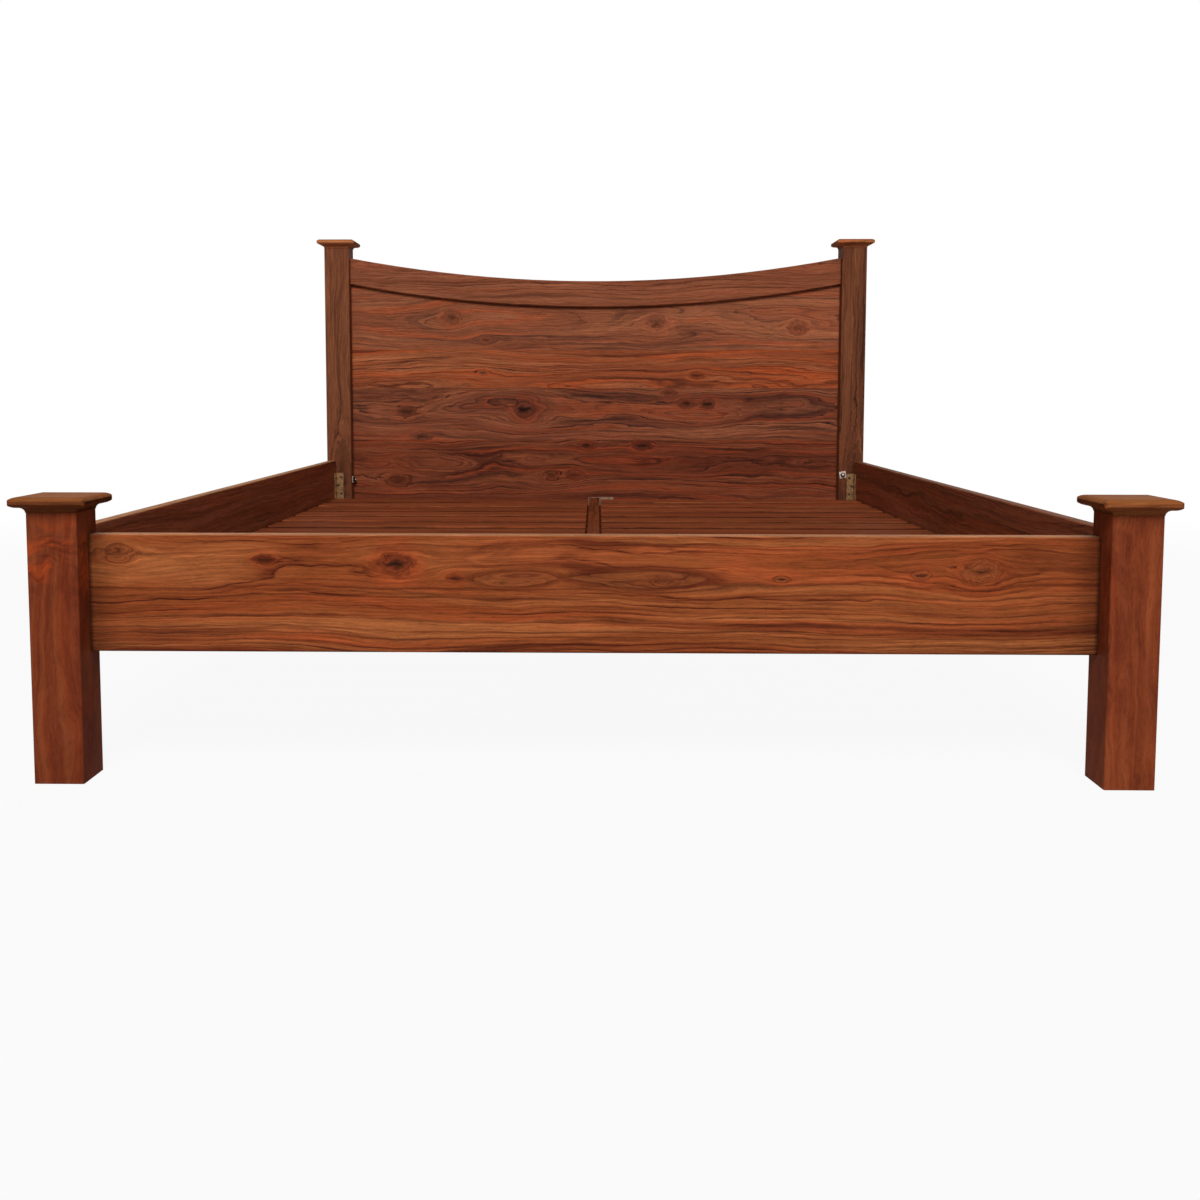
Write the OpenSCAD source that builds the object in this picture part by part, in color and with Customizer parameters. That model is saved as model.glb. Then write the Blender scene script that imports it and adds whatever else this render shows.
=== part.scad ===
// Wooden bed: four square posts with moulded caps, a dipped plank headboard, a low foot rail
// and two slat panels that lift out on either side of a centre rail.
// The bed stands on z = 0 with its middle over the origin and the headboard toward +Y.

/* [Bed] */
// Clear length between the foot posts and the head posts
clear_length = 2044; // [1800:1:2300]
// Clear width between the left posts and the right posts
clear_width = 1528; // [700:1:1900]
// Height of the top edge of the foot rail and side rails above the floor
rail_top = 375; // [330:1:390]
// Height of the foot rail and side rail boards
rail_height = 180; // [160:1:240]

/* [Posts] */
// Side of the square posts
post_side = 76; // [74:1:100]
// Height of the foot posts under their caps
foot_post_height = 411; // [406:1:700]
// Height of the head posts under their caps
head_post_height = 1036; // [880:1:1400]
// Radius of the posts' long edges
post_edge_radius = 3; // [1:0.5:6]

/* [Caps] */
// Reach of a cap past the post on each side
cap_overhang = 20; // [17:1:30]
// Thickness of a cap's thumb-shaped nose
cap_nose = 16; // [10:1:20]
// Depth of the nose, from the flat top to its tip
cap_nose_depth = 12; // [9:1:14]
// Height of the narrow flat at the nose's tip
cap_tip = 4; // [2:0.5:6]
// Radius of the hollow moulding under the nose
cap_cove = 8; // [5:1:11]
// Radius of a cap's corners seen from above
cap_corner_radius = 7; // [2:1:10]
// Diameter of the round spigot that holds a cap in its post
spigot_diameter = 24; // [16:1:30]
// Length of that spigot
spigot_length = 22; // [10:1:28]

/* [Foot rail and side rails] */
// Thickness of the foot rail
foot_rail_thickness = 26; // [20:1:28]
// Distance from the outer face of the foot posts back to the foot rail
foot_rail_setback = 40; // [34:1:42]
// Thickness of the side rails
side_rail_thickness = 22; // [18:1:26]
// Distance from the outer face of the posts in to the side rails
side_rail_inset = 5; // [3:1:8]
// Radius of the long edges of all the boards
board_edge_radius = 3; // [1:0.5:4]

/* [Joints] */
// Thickness of the rail tenons
tenon_thickness = 12; // [8:1:14]
// Length of the foot rail and headboard tenons
tenon_length = 40; // [25:1:42]
// Length of the side rails' short tenons
side_tenon_length = 30; // [22:1:32]
// Shoulder above and below each tenon
tenon_shoulder = 20; // [10:1:24]
// Play left round each tenon, tongue and spigot
joint_play = 0.2; // [0.1:0.05:0.5]

/* [Headboard] */
// Thickness of the top rail and bottom rail
head_rail_thickness = 30; // [24:1:34]
// Distance from the head posts' front faces back to these rails
head_rail_setback = 25; // [20:1:30]
// Distance from the top of the head posts down to the ends of the top rail
top_rail_drop = 30; // [24:1:120]
// Height of the top rail, measured square to its curve
top_rail_height = 80; // [66:1:120]
// Depth of the dip in the top rail's middle
top_rail_dip = 71; // [30:1:110]
// Chamfer on the top rail's long edges
top_rail_chamfer = 2.5; // [1:0.5:5]
// Height of the bottom rail
bottom_rail_height = 100; // [80:1:110]
// Distance from the slats' top down to the bottom rail's top edge
bottom_rail_drop = 8; // [4:1:20]
// Thickness of the headboard planks
plank_thickness = 16; // [12:1:18]
// Shares of the panel's height that the lower planks take, from the bottom up
plank_shares = [0.28, 0.243, 0.1765]; // [0.1:0.0005:0.28]
// Distance from the rails' front faces back to the planks
plank_step = 14; // [10:1:16]
// Thickness of the planks' tongue
tongue_thickness = 8; // [6:1:10]
// Reach of the tongue into the posts and rails
tongue_length = 7; // [4:1:7]

/* [Slat panels] */
// Number of slats in each panel
slat_count = 14; // [8:1:18]
// Width of a slat
slat_width = 100; // [60:1:110]
// Thickness of a slat
slat_thickness = 20; // [15:1:25]
// Radius of the slats' long edges
slat_edge_radius = 4; // [1:0.5:6]
// Distance from the posts to the first slat and to the last slat
slat_end_margin = 42; // [36:1:70]
// Depth of the slats' top below the rails' top edge
slat_recess = 117; // [105:1:125]
// Gap left at both ends of every slat
slat_end_gap = 5; // [2:1:8]
// Width of the battens under the slats
batten_width = 30; // [20:1:40]
// Height of the battens
batten_height = 20; // [15:1:30]
// Gap between a batten and the ledger beside it
batten_gap = 15; // [8:1:40]

/* [Centre rail and ledgers] */
// Thickness of the centre rail
centre_rail_thickness = 30; // [24:1:40]
// Height of the centre rail
centre_rail_height = 58; // [54:1:80]
// Width of the ledger strips that carry the slats
ledger_width = 25; // [20:1:30]
// Height of the ledger strips
ledger_height = 30; // [20:1:38]
// Side of the square centre leg
leg_side = 54; // [40:1:80]
// Diameter of the spigot that holds the leg under the centre rail
leg_spigot_diameter = 14; // [10:1:18]
// Length of that spigot
leg_spigot_length = 30; // [15:1:40]

/* [Steel fittings] */
// Width of both legs of a corner angle
angle_leg = 24; // [20:0.5:24]
// Length of a corner angle
angle_length = 102; // [90:1:140]
// Thickness of the steel in the angles and hangers
steel_thickness = 3; // [2:0.5:4]
// Reach of a centre hanger's back plate past its pocket, on the right side only
hanger_wing = 42; // [24:1:60]
// Height of a hanger's back plate above the slats
hanger_rise = 1.5; // [0.5:0.5:8]
// Length of the hanger's pocket along the centre rail
hanger_pocket = 30; // [20:1:32]
// Play between the centre rail and its hangers
hanger_play = 0.5; // [0.3:0.1:1]

/* [Fasteners] */
// Diameter of the round-head screws
screw_diameter = 4; // [3:0.5:5]
// Diameter of their heads
screw_head = 8; // [7:0.5:9]
// Height of their heads
screw_head_height = 2.6; // [2:0.1:3]
// Length of the screws in the angles and hangers
screw_length = 18; // [12:1:19]
// Length of the screws in the ledgers
ledger_screw_length = 40; // [32:1:44]
// Number of screws along each ledger
ledger_screw_count = 7; // [3:1:10]
// Length of the screws that hold the slats from below
slat_screw_length = 30; // [24:1:33]
// Depth to which the slat screws are let into the battens
slat_screw_recess = 4; // [3:0.5:6]
// Play round each screw and bolt
screw_play = 0.15; // [0.1:0.05:0.4]
// Diameter of the post bolts
bolt_diameter = 8; // [6:1:8]
// Side of the square washers on the post bolts
washer_side = 20; // [16:1:20]
// Thickness of those washers
washer_thickness = 2; // [1.5:0.5:3]
// Angle by which the washers turned as they were tightened
washer_turn = 12; // [0:1:15]
// Distance from the rails' top edge down to the left head post's bolt
left_bolt_drop = 61; // [45:1:120]
// Distance from that post's front face back to its bolt
left_bolt_inset = 21; // [18:1:22]
// Distance from the rails' top edge down to the right head post's bolt
right_bolt_drop = 42; // [35:1:60]

/* [Hidden] */
// Places of the posts
post_x = (clear_width + post_side) / 2;
post_y = (clear_length + post_side) / 2;
post_inner_x = clear_width / 2;
post_inner_y = clear_length / 2;
cap_height = cap_cove + cap_nose;

// Rails
rail_bottom = rail_top - rail_height;
side_rail_x = post_inner_x + post_side - side_rail_inset - side_rail_thickness;
foot_rail_y = -post_inner_y - post_side + foot_rail_setback;
foot_rail_back_y = foot_rail_y + foot_rail_thickness;
head_rail_y = post_inner_y + head_rail_setback;

// Slat panels, between the ledgers
slat_top = rail_top - slat_recess;
slat_bottom = slat_top - slat_thickness;
slat_pitch = (clear_length - 2 * slat_end_margin - slat_width) / (slat_count - 1);
slat_zone = clear_length - 2 * slat_end_margin;
function slat_middle_y(i) = -slat_zone / 2 + slat_width / 2 + i * slat_pitch;
slat_inner_x = centre_rail_thickness / 2 + slat_end_gap;
slat_outer_x = side_rail_x - slat_end_gap;
inner_batten_x = centre_rail_thickness / 2 + ledger_width + batten_gap;
outer_batten_x = side_rail_x - ledger_width - batten_gap - batten_width;
ledger_bottom = slat_bottom - ledger_height;
centre_rail_bottom = slat_top - centre_rail_height;

// Top rail: a ring segment whose circle touches the lowest point of the dip
top_rail_end = head_post_height - top_rail_drop;
dip_radius = (pow(post_inner_x, 2) + pow(top_rail_dip, 2)) / (2 * top_rail_dip);
dip_centre_z = top_rail_end - top_rail_dip + dip_radius;
top_rail_radius = dip_radius + top_rail_height;
top_rail_end_low = dip_centre_z - sqrt(pow(top_rail_radius, 2) - pow(post_inner_x, 2));

// Bottom rail and planks
bottom_rail_top = slat_top - bottom_rail_drop;
bottom_rail_bottom = bottom_rail_top - bottom_rail_height;
plank_y = head_rail_y + plank_step;
plank_count = len(plank_shares) + 1;
panel_height = top_rail_end_low - bottom_rail_top;
function plank_base(i) =
    i == 0 ? bottom_rail_top : plank_base(i - 1) + plank_shares[i - 1] * panel_height;

// Steel fittings. A hanger's plate lies on the foot rail's back or on the bottom rail's front.
angle_bottom = rail_bottom + (rail_height - angle_length) / 2;
hanger_top = slat_top + hanger_rise;
hanger_bottom = centre_rail_bottom - hanger_play - steel_thickness;
hanger_half = centre_rail_thickness / 2 + hanger_play;
hanger_outer_half = hanger_half + steel_thickness;
function hanger_plate_y(end) = end == 0 ? -foot_rail_back_y : head_rail_y;

// Screws: how many, how far apart and how far off the middle line by turns
angle_screw_count = 4;
angle_screw_pitch = angle_length / angle_screw_count;
angle_screw_stagger = 4;
ledger_screw_pitch = slat_zone / ledger_screw_count;
hanger_screw_low = max(hanger_bottom, rail_bottom);
hanger_screw_rows = [0.2, 0.5, 0.8];

// Post bolts, with their heads and nuts drawn from the bolt's diameter
right_bolt_x = (post_inner_x + side_rail_x - angle_leg) / 2;
bolt_play = 2 * screw_play;
bolt_head_radius = 1.2 * bolt_diameter;
bolt_head_height = 0.5 * bolt_diameter;
nut_height = 0.8 * bolt_diameter;
nut_width = 1.6 * bolt_diameter;
nut_gap = 0.2;
bolt_end = 3;

// How far a tenon is drawn inside its own rail, and a cut past the face that it opens
tenon_root = 6;
cut_margin = 1;

// Names and facets
side_names = ["left", "right"];
batten_names = ["inner", "outer"];
arc_steps = 48;
dip_steps = 720;

wood = "#8a4a28";
wood_light = "#a8602f";
wood_dark = "#6b3322";
brass_zinc = "#9c8350";
bright_zinc = "#c9c7c0";

function two_digits(n) = n < 10 ? str("0", n) : str(n);
function slat_name(side, i) = str("slat_", side_names[side], "_", two_digits(i + 1));

// Plain shapes

// A rectangle with round corners, its lower left corner at the origin
module rounded_rectangle(width, height, radius) {
    translate([radius, 0]) square([width - 2 * radius, height]);
    translate([0, radius]) square([width, height - 2 * radius]);
    for (x = [radius, width - radius], y = [radius, height - radius])
        translate([x, y]) circle(r = radius, $fn = arc_steps);
}

// A rectangle with its corners cut off at 45 degrees, its lower left corner at the origin
module chamfered_rectangle(width, height, chamfer) {
    polygon([
        [chamfer, 0], [width - chamfer, 0],
        [width, chamfer], [width, height - chamfer],
        [width - chamfer, height], [chamfer, height],
        [0, height - chamfer], [0, chamfer]
    ]);
}

// A board along X from x = start, with its near lower edge on y = 0, z = 0
module board_along_x(start, length, thickness, height, radius) {
    translate([start, 0, 0])
        rotate([90, 0, 90])
            linear_extrude(length)
                rounded_rectangle(thickness, height, radius);
}

// A board along Y, centred on y = 0, with its lower edge on x = 0, z = 0
module board_along_y(length, thickness, height, radius) {
    translate([0, length / 2, 0])
        rotate([90, 0, 0])
            linear_extrude(length)
                rounded_rectangle(thickness, height, radius);
}

// Its children, and their mirror image across the bed's length when side is 0 (left)
module on_side(side) {
    mirror([side == 0 ? 1 : 0, 0, 0]) children();
}

// Its children, drawn for the head end, moved to the foot end when end is 0
module on_end(end) {
    mirror([0, end == 0 ? 1 : 0, 0]) children();
}

// Posts

module post_blank(height) {
    translate([post_x - post_side / 2, post_y - post_side / 2, 0])
        linear_extrude(height)
            rounded_rectangle(post_side, post_side, post_edge_radius);
}

module cap_spigot(height, play = 0) {
    translate([post_x, post_y, height - spigot_length - play])
        cylinder(d = spigot_diameter + 2 * play, h = spigot_length + 2 * play, $fn = arc_steps);
}

module foot_post(side) {
    color(wood)
        difference() {
            on_side(side) on_end(0) difference() {
                post_blank(foot_post_height);
                cap_spigot(foot_post_height, joint_play);
                angle_screw_places() screw_hole(screw_length);
            }
            foot_rail_tenons(joint_play);
            on_side(side) side_rail_tenons(joint_play);
        }
}

module head_post(side) {
    color(wood)
        difference() {
            on_side(side) difference() {
                post_blank(head_post_height);
                cap_spigot(head_post_height, joint_play);
                angle_screw_places() screw_hole(screw_length);
                side_rail_tenons(joint_play);
                panel_edge_groove();
            }
            top_rail_tenons(joint_play);
            bottom_rail_tenons(joint_play);
            post_bolt_place(side) bolt_hole();
        }
}

// Caps: one moulding profile run both ways, so that it meets in mitres at the corners

// The nose is where two wide circles overlap, one touching the cap's flat top and one its
// underside. The tip where they cross lies past the cap's edge, and is cut off there.
module cap_profile() {
    flat_half = post_side / 2 + cap_overhang - cap_nose_depth;
    fall = (cap_nose - cap_tip) / 2;
    nose_radius = (pow(cap_nose_depth, 2) + pow(fall, 2)) / (2 * fall);
    difference() {
        union() {
            translate([-flat_half, cap_cove])
                square([2 * flat_half, cap_nose]);
            for (x = [-1, 1])
                intersection() {
                    translate([x * flat_half, cap_cove + nose_radius])
                        circle(r = nose_radius, $fn = arc_steps);
                    translate([x * flat_half, cap_height - nose_radius])
                        circle(r = nose_radius, $fn = arc_steps);
                }
            translate([-post_side / 2 - cap_cove, 0])
                square([post_side + 2 * cap_cove, cap_cove + cap_nose / 2]);
        }
        for (x = [-1, 1])
            translate([x * (post_side / 2 + cap_cove), 0])
                circle(r = cap_cove, $fn = arc_steps);
    }
}

module cap(side, end, height) {
    width = post_side + 2 * cap_overhang;
    run = width + 2 * cap_nose_depth;
    color(wood_light)
        on_side(side) on_end(end) {
            translate([post_x, post_y, height])
                intersection() {
                    rotate([90, 0, 0])
                        linear_extrude(run, center = true) cap_profile();
                    rotate([90, 0, 90])
                        linear_extrude(run, center = true) cap_profile();
                    translate([-width / 2, -width / 2, -cut_margin])
                        linear_extrude(cap_height + 2 * cut_margin)
                            rounded_rectangle(width, width, cap_corner_radius);
                }
            cap_spigot(height);
        }
}

// Tenons of the rails between the posts, drawn at both ends from a little way inside the rail
module end_tenons(middle_y, low, high, play) {
    for (side = [0, 1])
        on_side(side)
            translate([
                post_inner_x - tenon_root,
                middle_y - tenon_thickness / 2 - play,
                low + tenon_shoulder - play
            ])
                cube([
                    tenon_root + tenon_length + play,
                    tenon_thickness + 2 * play,
                    high - low - 2 * tenon_shoulder + 2 * play
                ]);
}

module foot_rail_tenons(play = 0) {
    end_tenons(foot_rail_y + foot_rail_thickness / 2, rail_bottom, rail_top, play);
}

module top_rail_tenons(play = 0) {
    end_tenons(head_rail_y + head_rail_thickness / 2, top_rail_end_low, top_rail_end, play);
}

module bottom_rail_tenons(play = 0) {
    end_tenons(head_rail_y + head_rail_thickness / 2, bottom_rail_bottom, bottom_rail_top, play);
}

module side_rail_tenons(play = 0) {
    length = clear_length + 2 * (side_tenon_length + play);
    translate([
        side_rail_x + (side_rail_thickness - tenon_thickness) / 2 - play,
        -length / 2,
        rail_bottom + tenon_shoulder - play
    ])
        cube([
            tenon_thickness + 2 * play,
            length,
            rail_height - 2 * tenon_shoulder + 2 * play
        ]);
}

// Foot rail and side rails

module foot_rail() {
    color(wood_light)
        difference() {
            union() {
                translate([0, foot_rail_y, rail_bottom])
                    board_along_x(
                        -post_inner_x, clear_width, foot_rail_thickness, rail_height, board_edge_radius
                    );
                foot_rail_tenons();
            }
            hanger_screw_places(0) screw_hole(screw_length);
        }
}

module side_rail(side) {
    color(wood)
        difference() {
            on_side(side) difference() {
                union() {
                    translate([side_rail_x, 0, rail_bottom])
                        board_along_y(clear_length, side_rail_thickness, rail_height, board_edge_radius);
                    side_rail_tenons();
                }
                for (end = [0, 1])
                    on_end(end) angle_screw_places() screw_hole(screw_length);
                side_ledger_screw_places() screw_hole(ledger_screw_length);
            }
            if (side == 0) post_bolt_place(side) bolt_hole();
        }
}

// Headboard

// The top rail's board: the part between the posts of a ring about the dip's centre
module top_rail_board() {
    intersection() {
        translate([0, head_rail_y, dip_centre_z])
            rotate([-90, 0, 0])
                rotate_extrude($fn = dip_steps)
                    translate([dip_radius, 0])
                        chamfered_rectangle(top_rail_height, head_rail_thickness, top_rail_chamfer);
        translate([-post_inner_x, head_rail_y - cut_margin, bottom_rail_top])
            cube([
                clear_width,
                head_rail_thickness + 2 * cut_margin,
                head_post_height - bottom_rail_top
            ]);
    }
}

// What lies above the top rail's lower edge when that edge is raised by a distance
module above_top_rail_edge(raise) {
    translate([0, head_rail_y - cut_margin, dip_centre_z])
        rotate([-90, 0, 0])
            cylinder(
                r = top_rail_radius - raise,
                h = head_rail_thickness + 2 * cut_margin,
                $fn = dip_steps
            );
}

module head_top_rail() {
    color(wood)
        difference() {
            union() {
                top_rail_board();
                top_rail_tenons();
            }
            difference() {
                translate([-post_inner_x, plank_y - joint_play, bottom_rail_top])
                    cube([
                        clear_width,
                        tongue_thickness + 2 * joint_play,
                        top_rail_end - bottom_rail_top
                    ]);
                above_top_rail_edge(tongue_length + joint_play);
            }
        }
}

module head_bottom_rail() {
    color(wood)
        difference() {
            union() {
                translate([0, head_rail_y, bottom_rail_bottom])
                    board_along_x(
                        -post_inner_x, clear_width, head_rail_thickness, bottom_rail_height,
                        board_edge_radius
                    );
                bottom_rail_tenons();
            }
            translate([
                -post_inner_x,
                plank_y - joint_play,
                bottom_rail_top - tongue_length - joint_play
            ])
                cube([clear_width, tongue_thickness + 2 * joint_play, 2 * tongue_length]);
            hanger_screw_places(1) screw_hole(screw_length);
        }
}

// The groove in a head post's inner face that takes the planks' tongues
module panel_edge_groove() {
    translate([
        post_inner_x - tongue_length,
        plank_y - joint_play,
        bottom_rail_top - tongue_length - joint_play
    ])
        cube([
            2 * tongue_length + joint_play,
            tongue_thickness + 2 * joint_play,
            panel_height + 2 * (tongue_length + joint_play)
        ]);
}

// One plank of the panel. The lowest and the highest have a tongue along their outer edges too.
module headboard_plank(i) {
    is_first = i == 0;
    is_last = i == plank_count - 1;
    low = plank_base(i);
    high = is_last ? top_rail_end_low : plank_base(i + 1);
    tongue_low = is_first ? low - tongue_length : low;
    tongue_high = is_last ? high + tongue_length : high;
    color(wood_dark) {
        difference() {
            translate([-post_inner_x, plank_y, low])
                cube([clear_width, plank_thickness, high - low]);
            if (is_last) above_top_rail_edge(0);
        }
        difference() {
            translate([-post_inner_x - tongue_length, plank_y, tongue_low])
                cube([
                    clear_width + 2 * tongue_length, tongue_thickness, tongue_high - tongue_low
                ]);
            if (is_last) above_top_rail_edge(tongue_length);
        }
    }
}

// Ledgers and centre rail

module side_ledger(side) {
    color(wood_dark)
        on_side(side) difference() {
            translate([side_rail_x - ledger_width, 0, ledger_bottom])
                board_along_y(slat_zone, ledger_width, ledger_height, board_edge_radius / 2);
            side_ledger_screw_places() screw_hole(ledger_screw_length);
        }
}

module centre_ledgers() {
    color(wood_dark)
        difference() {
            for (side = [0, 1])
                on_side(side)
                    translate([centre_rail_thickness / 2, 0, ledger_bottom])
                        board_along_y(slat_zone, ledger_width, ledger_height, board_edge_radius / 2);
            centre_ledger_screw_places() screw_hole(ledger_screw_length);
        }
}

module centre_rail() {
    front = -hanger_plate_y(0) + steel_thickness + hanger_play;
    back = hanger_plate_y(1) - steel_thickness - hanger_play;
    color(wood)
        difference() {
            translate([-centre_rail_thickness / 2, (front + back) / 2, centre_rail_bottom])
                board_along_y(
                    back - front, centre_rail_thickness, centre_rail_height, board_edge_radius
                );
            centre_ledger_screw_places() screw_hole(ledger_screw_length);
            leg_spigot(joint_play);
        }
}

module leg_spigot(play = 0) {
    translate([0, 0, centre_rail_bottom - tenon_root])
        cylinder(
            d = leg_spigot_diameter + 2 * play,
            h = tenon_root + leg_spigot_length + play,
            $fn = arc_steps
        );
}

module centre_leg() {
    color(wood) {
        translate([-leg_side / 2, -leg_side / 2, 0])
            linear_extrude(centre_rail_bottom)
                rounded_rectangle(leg_side, leg_side, board_edge_radius);
        leg_spigot();
    }
}

// Slat panels

module slat(side, i) {
    color(wood_light)
        on_side(side) difference() {
            translate([0, slat_middle_y(i) - slat_width / 2, slat_bottom])
                board_along_x(
                    slat_inner_x, slat_outer_x - slat_inner_x, slat_width, slat_thickness,
                    slat_edge_radius
                );
            slat_screw_places(i) screw_hole(slat_screw_length);
        }
}

module batten(side, place) {
    start_x = place == 0 ? inner_batten_x : outer_batten_x;
    color(wood_dark)
        on_side(side) difference() {
            translate([start_x, 0, slat_bottom - batten_height])
                board_along_y(slat_zone, batten_width, batten_height, board_edge_radius / 2);
            for (i = [0 : slat_count - 1])
                slat_screw_places(i) {
                    screw_hole(slat_screw_length);
                    cylinder(
                        d = screw_head + 2 * screw_play, h = 2 * slat_screw_recess, $fn = arc_steps
                    );
                }
        }
}

module slat_screws(side) {
    color(bright_zinc)
        on_side(side)
            for (i = [0 : slat_count - 1])
                slat_screw_places(i) round_head_screw(slat_screw_length);
}

// Steel fittings

// The angle in the inner corner of the head post and side rail, on the +X side
module corner_angle() {
    translate([side_rail_x, post_inner_y, angle_bottom])
        rotate([0, 0, 180])
            difference() {
                cube([angle_leg, angle_leg, angle_length]);
                translate([steel_thickness, steel_thickness, -cut_margin])
                    cube([angle_leg, angle_leg, angle_length + 2 * cut_margin]);
            }
}

module corner_angles() {
    color(brass_zinc)
        for (side = [0, 1], end = [0, 1])
            on_side(side) on_end(end) difference() {
                corner_angle();
                angle_screw_places() screw_hole(screw_length);
            }
}

// A back plate with an open-topped pocket for the centre rail's end. Its wing on the right
// takes the screws. It is drawn for the head end, with its plate against y = plate_y.
module centre_hanger(plate_y) {
    translate([-hanger_outer_half, plate_y - steel_thickness, hanger_bottom])
        cube([
            2 * hanger_outer_half + hanger_wing, steel_thickness, hanger_top - hanger_bottom
        ]);
    difference() {
        translate([-hanger_outer_half, plate_y - hanger_pocket, hanger_bottom])
            cube([2 * hanger_outer_half, hanger_pocket, slat_top - hanger_bottom]);
        translate([-hanger_half, plate_y - 2 * hanger_pocket, hanger_bottom + steel_thickness])
            cube([2 * hanger_half, 2 * hanger_pocket - steel_thickness, hanger_top - hanger_bottom]);
    }
}

module centre_hangers() {
    color(bright_zinc)
        for (end = [0, 1])
            difference() {
                on_end(end) centre_hanger(hanger_plate_y(end));
                hanger_screw_places(end) screw_hole(screw_length);
            }
}

// Fasteners

// A screw along -Z from the face that its head rests on
module round_head_screw(length) {
    translate([0, 0, -length]) cylinder(d = screw_diameter, h = length, $fn = arc_steps);
    dome(screw_head / 2, screw_head_height);
}

module screw_hole(length) {
    translate([0, 0, -length - screw_play])
        cylinder(
            d = screw_diameter + 2 * screw_play,
            h = length + screw_play + cut_margin,
            $fn = arc_steps
        );
}

// Staggered screws in both legs of an angle, drawn for the head end on the +X side
module angle_screw_places() {
    middle = (angle_leg + steel_thickness) / 2;
    for (i = [0 : angle_screw_count - 1]) {
        z = angle_bottom + (i + 0.5) * angle_screw_pitch;
        shift = (i % 2 == 0 ? 1 : -1) * angle_screw_stagger;
        translate([side_rail_x - middle + shift, post_inner_y - steel_thickness, z])
            rotate([90, 0, 0]) children();
        translate([side_rail_x - steel_thickness, post_inner_y - middle + shift, z])
            rotate([0, -90, 0]) children();
    }
}

// A column of screws in a hanger's wing
module hanger_screw_places(end) {
    for (row = hanger_screw_rows)
        on_end(end)
            translate([
                hanger_outer_half + hanger_wing / 2,
                hanger_plate_y(end) - steel_thickness,
                hanger_screw_low + row * (bottom_rail_top - hanger_screw_low)
            ])
                rotate([90, 0, 0]) children();
}

module ledger_screw_rows(x) {
    for (i = [0 : ledger_screw_count - 1])
        translate([
            x,
            -slat_zone / 2 + (i + 0.5) * ledger_screw_pitch,
            ledger_bottom + ledger_height / 2
        ])
            rotate([0, -90, 0]) children();
}

module side_ledger_screw_places() {
    ledger_screw_rows(side_rail_x - ledger_width) children();
}

// The two centre ledgers are screwed from opposite sides, half a step apart
module centre_ledger_screw_places() {
    for (side = [0, 1])
        on_side(side)
            translate([0, (side - 0.5) * ledger_screw_pitch / 2, 0])
                mirror([1, 0, 0])
                    ledger_screw_rows(-centre_rail_thickness / 2 - ledger_width) children();
}

// A screw up through each batten into slat number i
module slat_screw_places(i) {
    for (x = [inner_batten_x, outer_batten_x])
        translate([
            x + batten_width / 2,
            slat_middle_y(i),
            slat_bottom - batten_height + slat_screw_recess
        ])
            rotate([180, 0, 0]) children();
}

module frame_screws() {
    color(bright_zinc) {
        for (side = [0, 1])
            on_side(side) {
                for (end = [0, 1])
                    on_end(end) angle_screw_places() round_head_screw(screw_length);
                side_ledger_screw_places() round_head_screw(ledger_screw_length);
            }
        for (end = [0, 1]) hanger_screw_places(end) round_head_screw(screw_length);
        centre_ledger_screw_places() round_head_screw(ledger_screw_length);
    }
}

// The left head post's bolt runs across the bed through the side rail's tenon, the right
// one's runs along the bed. Both are drawn along -Z from the face that the washer lies on.
module post_bolt_place(side) {
    if (side == 0)
        translate([-post_inner_x, post_inner_y + left_bolt_inset, rail_top - left_bolt_drop])
            rotate([0, 90, 0]) children();
    else
        translate([right_bolt_x, post_inner_y, rail_top - right_bolt_drop])
            rotate([90, 0, 0]) children();
}

module bolt_hole() {
    translate([0, 0, -post_side - cut_margin])
        cylinder(
            d = bolt_diameter + 2 * bolt_play, h = post_side + 2 * cut_margin, $fn = arc_steps
        );
}

// The hole that a washer or nut of this height needs for the bolt
module bolt_clearance(height) {
    translate([0, 0, -cut_margin])
        cylinder(
            d = bolt_diameter + bolt_play, h = height + 2 * cut_margin, $fn = arc_steps
        );
}

// A low dome on z = 0
module dome(radius, height) {
    sphere_radius = (pow(radius, 2) + pow(height, 2)) / (2 * height);
    intersection() {
        translate([0, 0, height - sphere_radius]) sphere(r = sphere_radius, $fn = arc_steps);
        cylinder(r = radius, h = height, $fn = arc_steps);
    }
}

// A bolt with a domed head on the post's far face, and its washer and nut
module post_bolt() {
    reach = washer_thickness + nut_gap + nut_height + bolt_end;
    translate([0, 0, -post_side])
        cylinder(d = bolt_diameter, h = post_side + reach, $fn = arc_steps);
    translate([0, 0, -post_side])
        mirror([0, 0, 1]) dome(bolt_head_radius, bolt_head_height);
    rotate([0, 0, washer_turn])
        difference() {
            translate([-washer_side / 2, -washer_side / 2, 0])
                cube([washer_side, washer_side, washer_thickness]);
            bolt_clearance(washer_thickness);
        }
    translate([0, 0, washer_thickness + nut_gap])
        difference() {
            cylinder(d = nut_width / cos(30), h = nut_height, $fn = 6);
            bolt_clearance(nut_height);
        }
}

module post_bolts() {
    color(bright_zinc)
        for (side = [0, 1])
            post_bolt_place(side) post_bolt();
}

// The assembly

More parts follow.
